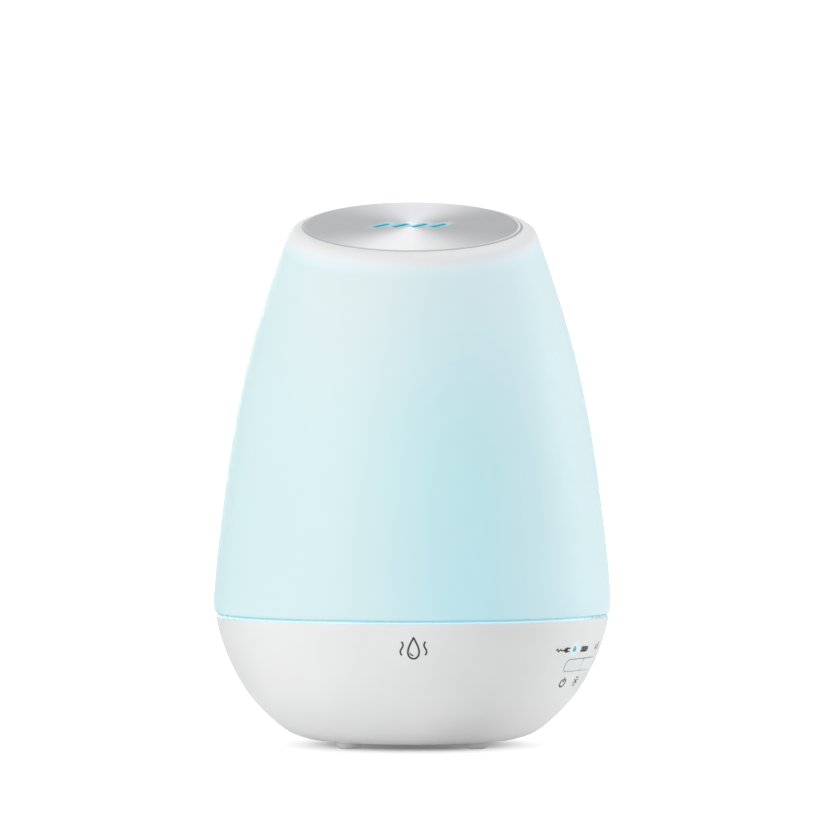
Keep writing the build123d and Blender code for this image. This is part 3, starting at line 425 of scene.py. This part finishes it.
def slot_spill(u, v):
    """Light from the slots, spilling a little way over the metal, stronger at the back."""
    across_row = v - SLOT_MIDDLE[1]
    along_row = u - SLOT_MIDDLE[0] - across_row * (1 / math.tan(SLOT_SLOPE))
    cell = along_row.repeat(shift=SLOT_ROW_HALF, period=SLOT_PITCH)
    inside = (along_row.op("GREATER_THAN", -SLOT_ROW_HALF)
              * along_row.op("LESS_THAN", SLOT_ROW_HALF))
    across = cell * math.sin(SLOT_SLOPE)
    along = across_row / math.sin(SLOT_SLOPE) + cell * math.cos(SLOT_SLOPE)
    past_straight = (abs(along) - SLOT_STRAIGHT_HALF).at_least(0.0)
    reach = radius_of(past_straight, across) - SLOT_RADIUS
    spill = inside * reach.at_least(0.0).decay(length=1.5 * MM)
    return spill * along.fade(start=-2.0 * MM, end=3.6 * MM, low=0.5)


def disc_metal():
    """Circular brushed disc with painted fan-shaped highlights, a painted highlight line near
    its rim, and painted shade on its outer side.
    """
    mat = Material("disc_metal")
    place = mat.from_disc()
    u, v, height = (mat.vector_math("DOT_PRODUCT", place, tuple(axis))
                    for axis in ((1.0, 0.0, 0.0), DISC_RUN, DISC_NORMAL))
    radius = radius_of(u, v)
    angle = bearing_of(u, v)

    def turned(per_metre, per_radian, offset, detail, roughness):
        """Noise drawn out into rings."""
        vector = mat.join("XYZ", radius * per_metre, abs(angle) * per_radian, offset)
        return mat.noise(1.0, detail, roughness, vector)

    groove = turned(per_metre=5200.0, per_radian=3.0, offset=0.0, detail=3.0, roughness=0.65)
    wide = turned(per_metre=900.0, per_radian=1.2, offset=3.0, detail=2.0, roughness=0.5)
    tone = painted_fan_highlights(mat, angle)
    for rings, contrast in ((groove, 0.07), (wide, 0.04)):
        tone = tone.layer("MULTIPLY", rings.mix(low=grey(1 - contrast), high=grey(1 + contrast)))
    # painted highlight: a bright line near the rim, strongest on the right side
    right = angle.band(first=(0.30, 0.75), second=(2.3, 1.7)).at_least(0.22)
    painted_rim_highlight = radius.band(first=(37.55 * MM, 37.8 * MM), second=(38.5 * MM, 38.3 * MM)) * right
    tone = painted_rim_highlight.mix(low=tone, high=(0.84, 0.85, 0.86))
    # painted shade: darker on the outer rim and on the sides below the top plane
    painted_rim_shade = radius.fade(start=38.45 * MM, end=38.7 * MM).at_least(
        height.fade(start=-0.15 * MM, end=-0.40 * MM))
    mat.surface(
        color=painted_rim_shade.mix(low=tone, high=(0.54, 0.55, 0.56)),
        glow=slot_spill(u, v).mix(low=BLACK, high=(0.09, 0.28, 0.34)),
        metallic=0.55,
        roughness=groove.fade(start=0.3, end=0.7, low=0.42, high=0.56))
    mat.bump(groove, strength=0.12)


def outlet_teal():
    """Translucent insert in the slots with a painted glow: painted shade darkens it further
    down, and it is pale at the lip.
    """
    mat = Material("outlet_teal")
    height = mat.above_disc()
    # painted shade: darker further down in the slot
    painted_depth_shade = height.fade(start=-2.2 * MM, end=-0.4 * MM)
    lip = height.fade(start=-0.32 * MM, end=-0.18 * MM)
    tint = mat.noise(scale=700.0).mix(low=grey(0.9), high=grey(1.1))
    glow = lip.mix(low=painted_depth_shade.mix(low=(0.004, 0.12, 0.19), high=(0.02, 0.24, 0.32)),
                   high=(0.04, 0.22, 0.27))
    mat.surface(
        color=lip.mix(low=painted_depth_shade.mix(low=(0.01, 0.10, 0.14), high=(0.05, 0.26, 0.31)),
                      high=(0.22, 0.46, 0.52)),
        glow=glow.layer("MULTIPLY", tint),
        roughness=0.35)


def key_frosted():
    """Frosted keys, with a faint painted glow of the light behind them."""
    mat = Material("key_frosted")
    cloud = mat.noise(scale=350.0)
    mat.surface(
        color=cloud.mix(low=(0.77, 0.80, 0.805), high=(0.80, 0.83, 0.835)),
        glow=cloud.mix(low=(0.010, 0.030, 0.038), high=(0.014, 0.036, 0.045)),
        roughness=mat.patches(scale=300.0, detail=3.0, low=0.38, high=0.48))
    mat.bump(mat.noise(scale=3200.0), strength=0.06)


def lens_lit():
    mat = Material("lens_lit")
    cloud = mat.noise(scale=1500.0)
    mat.surface(
        color=cloud.mix(low=(0.10, 0.20, 0.23), high=(0.14, 0.26, 0.29)),
        glow=cloud.mix(low=(0.03, 0.15, 0.18), high=(0.05, 0.19, 0.22)),
        roughness=0.15)


def lens_dark():
    mat = Material("lens_dark")
    cloud = mat.noise(scale=1500.0)
    mat.surface(color=cloud.mix(low=(0.36, 0.37, 0.29), high=(0.44, 0.45, 0.37)),
                roughness=0.18, coat=0.3)


def plain_parts():
    """Feet and inner parts of one plain plastic, rubber or metal each."""
    moulded("foot_rubber", (0.70, 0.70, 0.69), rough=0.72, vary=0.03, grain=0.20,
            grain_scale=2200.0, specular=0.2)
    moulded("tank_plastic", (0.80, 0.82, 0.83), rough=0.38, vary=0.015, grain=0.05)
    moulded("seal_silicone", (0.62, 0.62, 0.60), rough=0.6, vary=0.05, grain=0.12)
    moulded("led_body", (0.85, 0.80, 0.50), rough=0.25, vary=0.05, grain=0.04)
    metal("piezo_ceramic", (0.72, 0.68, 0.58), rough=0.28, vary=0.05, scale=grey(300.0),
          bump=0.04)
    moulded("fan_black", (0.022, 0.022, 0.024), rough=0.5, vary=0.15, grain=0.15,
            grain_scale=1800.0, specular=0.4)
    moulded("duct_plastic", (0.66, 0.66, 0.64), rough=0.5, vary=0.03, grain=0.08)
    moulded("chip_black", (0.018, 0.018, 0.019), rough=0.55, vary=0.2, grain=0.2,
            grain_scale=4200.0)
    sleeve = moulded("battery_sleeve", (0.05, 0.20, 0.32), rough=0.24, vary=0.06, grain=0.05,
                     grain_scale=1200.0, specular=0.5)
    sleeve.surface(coat=0.4, coat_roughness=0.12)
    moulded("wire_red", (0.42, 0.02, 0.015), rough=0.42, vary=0.08, grain=0.06)
    moulded("wire_black", (0.02, 0.02, 0.02), rough=0.42, vary=0.1, grain=0.06)
    moulded("wire_white", (0.70, 0.70, 0.68), rough=0.42, vary=0.03, grain=0.06)
    metal("screw_steel", (0.56, 0.56, 0.57))
    metal("part_aluminium", (0.66, 0.67, 0.69), rough=0.36)
    metal("magnet_iron", (0.09, 0.09, 0.10), rough=0.5, vary=0.1, scale=grey(500.0), bump=0.2)


def winding_copper():
    mat = Material("winding_copper")
    turns = Value(mat, mat.add("TexWave", {
        "Vector": mat.coord(), "Scale": 900.0, "Distortion": 1.5}, bands_direction="Z"), "Fac")
    mat.surface(color=turns.mix(low=(0.42, 0.16, 0.06), high=(0.75, 0.36, 0.16)),
                metallic=0.9, roughness=0.34)
    mat.bump(turns, strength=0.4, distance=0.0001)


def board_green():
    """Circuit board: paler lines over a faint weave."""
    mat = Material("board_green")
    weave = Value(mat, mat.add("TexChecker", {"Vector": mat.coord(), "Scale": 1400.0}), "Fac")
    lines = mat.add("TexBrick", {
        "Vector": mat.coord(), "Scale": 240.0, "Mortar Size": 0.035,
        "Color1": (0.012, 0.115, 0.045), "Color2": (0.014, 0.130, 0.050),
        "Mortar": (0.045, 0.235, 0.085)})
    weave_strength = 0.12
    mat.surface(
        color=(weave * weave_strength).mix(low=Value(mat, lines, "Color"),
                                           high=(0.03, 0.18, 0.07)),
        roughness=mat.patches(scale=300.0, detail=2.0, low=0.30, high=0.42))
    mat.bump(Value(mat, lines, "Fac"), strength=0.15, distance=0.00005)


def inks():
    moulded("print_ink", (0.060, 0.062, 0.067), rough=0.55, vary=0.08, grain=0.05)
    moulded("print_ink_dark", (0.030, 0.031, 0.034), rough=0.5, vary=0.10, grain=0.05)
    moulded("print_ink_soft", (0.20, 0.20, 0.18), rough=0.55, vary=0.06, grain=0.05)


for make in (base_white, cover_frosted, ring_diffuser, disc_metal, outlet_teal, key_frosted,
             lens_lit, lens_dark, plain_parts, winding_copper, board_green, inks):
    make()

slot_of = {part["node"]: part["material_slot"] for part in frame["record"]["subparts"]}
for name, obj in nodes.items():
    obj.data.materials.clear()
    obj.data.materials.append(MATERIALS[slot_of[name]])
    for polygon in obj.data.polygons:
        polygon.material_index = 0

# ------------------------------------------------------------------ printed symbols on the bowl
# lengths in mm, bearings in degrees
INK_TOP, INK_BOTTOM = 0.07, -0.12       # ribbon faces, from the bowl's surface
RIBBON_STEP = 0.35                      # longest step along a ribbon
ACROSS = 2                              # faces across a ribbon

shell = nodes["base_shell"].data
bowl = BVHTree.FromPolygons([v.co.copy() for v in shell.vertices],
                            [tuple(p.vertices) for p in shell.polygons])


def on_bowl(bearing, z, lift):
    """Point of the bowl's outer surface, lifted off it."""
    a = math.radians(bearing)
    out = Vector((math.sin(a), -math.cos(a), 0))
    hit, normal, _, _ = bowl.ray_cast(Vector((0, 0, z * MM)) + out * 0.12, -out)
    if hit is None:
        raise RuntimeError("no bowl surface at %s %s" % (bearing, z))
    if normal.dot(out) < 0:
        normal = -normal
    return hit + normal * lift * MM


def radius_at(z):
    return -on_bowl(0.0, z, 0.0).y / MM


def link_mesh(name, bm, material):
    """Turn a bmesh into a linked object."""
    bmesh.ops.recalc_face_normals(bm, faces=bm.faces)
    mesh = bpy.data.meshes.new(name)
    bm.to_mesh(mesh)
    bm.free()
    mesh.materials.append(material)
    obj = bpy.data.objects.new(name, mesh)
    bpy.context.scene.collection.objects.link(obj)
    return obj


class Symbol:
    """Thin closed ribbons on the bowl; points are (towards larger bearings, up the surface)."""

    def __init__(self, name, bearing, z, ink):
        self.bm = bmesh.new()
        self.name, self.bearing, self.z, self.ink = name, bearing, z, ink
        self.radius = radius_at(z)
        # height gained per mm of surface
        self.rise = 2 / math.hypot(2, radius_at(z + 1) - radius_at(z - 1))

    def vertex(self, x, y, lift):
        bearing = self.bearing + math.degrees(x / self.radius)
        return self.bm.verts.new(on_bowl(bearing, self.z + y * self.rise, lift))

    def ribbon(self, points, width, closed=False):
        path = []
        for i in range(len(points) if closed else len(points) - 1):
            a, b = points[i], points[(i + 1) % len(points)]
            steps = max(1, math.ceil(math.dist(a, b) / RIBBON_STEP))
            for j in range(steps):
                f = j / steps
                path.append((a[0] + (b[0] - a[0]) * f, a[1] + (b[1] - a[1]) * f))
        if not closed:
            path.append(points[-1])

        count = len(path)
        rows = []
        for i, (x, y) in enumerate(path):
            before = path[i - 1] if closed or i > 0 else path[i]
            after = path[(i + 1) % count] if closed or i < count - 1 else path[i]
            dx, dy = after[0] - before[0], after[1] - before[1]
            length = math.hypot(dx, dy) or 1.0
            top, bottom = [], []
            for j in range(ACROSS + 1):
                side = (j / ACROSS - 0.5) * width
                edge_x, edge_y = x - dy / length * side, y + dx / length * side
                top.append(self.vertex(edge_x, edge_y, INK_TOP))
                bottom.append(self.vertex(edge_x, edge_y, INK_BOTTOM))
            rows.append((top, bottom))

        face = self.bm.faces.new
        for i in range(count if closed else count - 1):
            (t0, b0), (t1, b1) = rows[i], rows[(i + 1) % count]
            for j in range(ACROSS):
                face((t0[j], t0[j + 1], t1[j + 1], t1[j]))
                face((b0[j], b1[j], b1[j + 1], b0[j + 1]))
            face((t0[0], t1[0], b1[0], b0[0]))
            face((t0[-1], b0[-1], b1[-1], t1[-1]))
        if not closed:
            for (top, bottom), turn in ((rows[0], 1), (rows[-1], -1)):
                for j in range(ACROSS):
                    face((top[j], bottom[j], bottom[j + 1], top[j + 1])[::turn])

    def finish(self):
        obj = link_mesh(self.name, self.bm, MATERIALS[self.ink])
        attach(obj, "base")


def arc(radius, start, end, steps, y=0.0):
    """Arc about (0, y), from start to end in degrees."""
    angles = [math.radians(start + (end - start) * i / steps) for i in range(steps + 1)]
    return [(radius * math.cos(a), y + radius * math.sin(a)) for a in angles]


def front_drop_mark():
    """A water drop with a short highlight stroke, and a curl of mist on either side."""
    mark = Symbol("front_drop_mark", bearing=0.35, z=37.5, ink="print_ink")
    angles = [2 * math.pi * i / 56 for i in range(56)]
    drop = [(2.646 * math.sin(a) * math.sin(a / 2) ** 1.3, 3.85 * math.cos(a)) for a in angles]
    mark.ribbon(drop, width=0.60, closed=True)
    mark.ribbon(arc(radius=1.25, start=196, end=268, steps=8, y=-1.45), width=0.46)
    for side in (-1, 1):
        curl = [(side * (4.05 + 0.48 * math.sin(i / 16 * 2 * math.pi)), -2.6 + 5.0 * i / 16)
                for i in range(17)]
        mark.ribbon(curl, width=0.56)
    mark.finish()


def power_symbol():
    """Open ring with a stroke through its gap."""
    mark = Symbol("power_symbol", bearing=KEYS - 7.6, z=23.65, ink="print_ink_dark")
    mark.ribbon(arc(radius=1.60, start=122, end=418, steps=30), width=0.56)
    mark.ribbon([(0, 0.35), (0, 2.15)], width=0.56)
    mark.finish()


def light_symbol():
    """Sun: a small disc with eight rays."""
    mark = Symbol("light_symbol", bearing=KEYS + 2.0, z=23.8, ink="print_ink")
    mark.ribbon(arc(radius=0.36, start=0, end=348, steps=14), width=0.70, closed=True)
    for i in range(8):
        a = math.radians(45 * i + 22.5)
        mark.ribbon([(r * math.cos(a), r * math.sin(a)) for r in (1.25, 2.1)], width=0.42)
    mark.finish()


def battery_symbol():
    """Outline with four bars and a terminal, between the two windows."""
    mark = Symbol("battery_symbol", bearing=KEYS - 1.9, z=35.35, ink="print_ink_dark")
    mark.ribbon([(-2.55, -0.80), (2.25, -0.80), (2.25, 0.80), (-2.55, 0.80)], width=0.44,
                closed=True)
    for i in range(4):
        x = -1.68 + 0.98 * i
        mark.ribbon([(x - 0.33, 0.0), (x + 0.37, 0.0)], width=1.10)
    mark.ribbon([(2.4, 0.0), (2.95, 0.0)], width=0.9)
    mark.finish()


def bolt_symbol():
    """Lightning bolt by the second window."""
    mark = Symbol("bolt_symbol", bearing=KEYS + 10.2, z=36.0, ink="print_ink_soft")
    mark.ribbon([(0.55, 1.35), (-0.60, 0.05)], width=0.50)
    mark.ribbon([(-0.60, 0.0), (0.62, 0.0)], width=0.42)
    mark.ribbon([(0.60, -0.05), (-0.55, -1.35)], width=0.50)
    mark.finish()


def plug_symbol():
    """Plug with its wavy lead, left of the lit window."""
    mark = Symbol("plug_symbol", bearing=KEYS - 13.1, z=35.45, ink="print_ink_dark")
    lead = [(-5.3 + 3.6 * i / 20, 0.62 * math.sin(i / 20 * 4 * math.pi) * (1 - i / 26))
            for i in range(21)]
    mark.ribbon(lead, width=0.46)
    # neck, collar and body: (start, end, width)
    for start, end, width in ((-1.75, -0.85, 0.46), (-0.85, -0.1, 1.3), (-0.1, 1.15, 1.95)):
        mark.ribbon([(start, 0.0), (end, 0.0)], width)
    for y in (-0.58, 0.58):
        mark.ribbon([(1.1, y), (2.5, y)], width=0.46)
    mark.finish()


for make in (front_drop_mark, power_symbol, light_symbol, battery_symbol, bolt_symbol,
             plug_symbol):
    make()


# ------------------------------------------------------------------ floor
def floor_white():
    """White floor; the camera sees it glow more, with a painted contact shadow under the bowl.
    """
    mat = Material("floor_white")
    x, y, _ = mat.split(mat.coord())
    radius = radius_of(x, y)
    # painted contact shadow: the glow the camera sees drops under the bowl, lowest in the middle
    painted_shadow_core = radius.fade(start=0.008, end=0.028, low=-0.125, high=-0.07)
    near = radius.fade(start=0.024, end=0.040)
    far = radius.fade(start=0.046, end=0.075)
    base_glow, near_glow, far_glow = 0.155, 0.36, 0.40
    seen = near.op("MULTIPLY_ADD", near_glow, painted_shadow_core) + far * far_glow
    mat.surface(color=grey(0.80), roughness=0.9, specular=0.1, glow=grey(1.0),
                glow_strength=base_glow + mat.camera_ray() * seen)


def floor():
    """Flat disc of rings, finer towards the middle."""
    ring_radii = [0.02, 0.04, 0.06, 0.1, 0.2, 0.5, 1.5, 6.0]
    segments = 64
    bm = bmesh.new()
    inner = None
    for radius in ring_radii:
        angles = [2 * math.pi * i / segments for i in range(segments)]
        ring = [bm.verts.new((radius * math.cos(a), radius * math.sin(a), 0.0)) for a in angles]
        if inner is None:
            bm.faces.new(ring)
        else:
            for i in range(segments):
                j = (i + 1) % segments
                bm.faces.new((inner[i], inner[j], ring[j], ring[i]))
        inner = ring
    link_mesh("floor", bm, MATERIALS["floor_white"])


floor_white()
floor()


# ------------------------------------------------------------------ light
def studio_world():
    """White sky, brighter overhead; the camera sees it evenly white."""
    world = bpy.data.worlds.new("studio")
    bpy.context.scene.world = world
    sky = Graph(world)
    up = sky.split(sky.coord("Generated"))[2]
    overhead = up.fade(start=-0.1, end=1.0, high=1.13, smooth=False)
    seen_by_camera = 1.05
    strength = sky.add("Mix", {0: sky.camera_ray(), 2: overhead, 3: seen_by_camera},
                       data_type="FLOAT")
    background = sky.add("Background", {"Color": grey(1), "Strength": Value(sky, strength)})
    sky.add("OutputWorld", {0: Value(sky, background)})


def sun(name, bearing, elevation, strength, spread=30):
    """A sun lamp; angles in degrees."""
    light = bpy.data.lights.new(name, "SUN")
    light.energy = strength
    light.angle = math.radians(spread)
    obj = bpy.data.objects.new(name, light)
    bpy.context.scene.collection.objects.link(obj)
    a, e = math.radians(bearing), math.radians(elevation)
    source = Vector((math.sin(a) * math.cos(e), -math.cos(a) * math.cos(e), math.sin(e)))
    obj.rotation_euler = source.to_track_quat("Z", "Y").to_euler()
    obj.location = source * 2


studio_world()
sun("left_softbox", bearing=-50, elevation=8, strength=1.133)
sun("right_softbox", bearing=111, elevation=8, strength=1.152)
sun("rear_softbox", bearing=-168, elevation=10, strength=0.55)


# ------------------------------------------------------------------ camera
def add_camera():
    """Long lens, level, looking at the front."""
    data = bpy.data.cameras.new("camera")
    data.sensor_width = 36.0
    data.lens = 201.2
    data.clip_start, data.clip_end = 0.05, 50.0
    camera = bpy.data.objects.new("camera", data)
    scene = bpy.context.scene
    scene.collection.objects.link(camera)
    camera.location = (0.00025, -1.640, 0.1176)
    camera.rotation_euler = (math.radians(90), 0, 0)
    scene.camera = camera
    scene.view_settings.view_transform = "Standard"
    scene.view_settings.look = "None"


add_camera()

for m in list(bpy.data.materials):
    if m.users == 0:
        bpy.data.materials.remove(m)
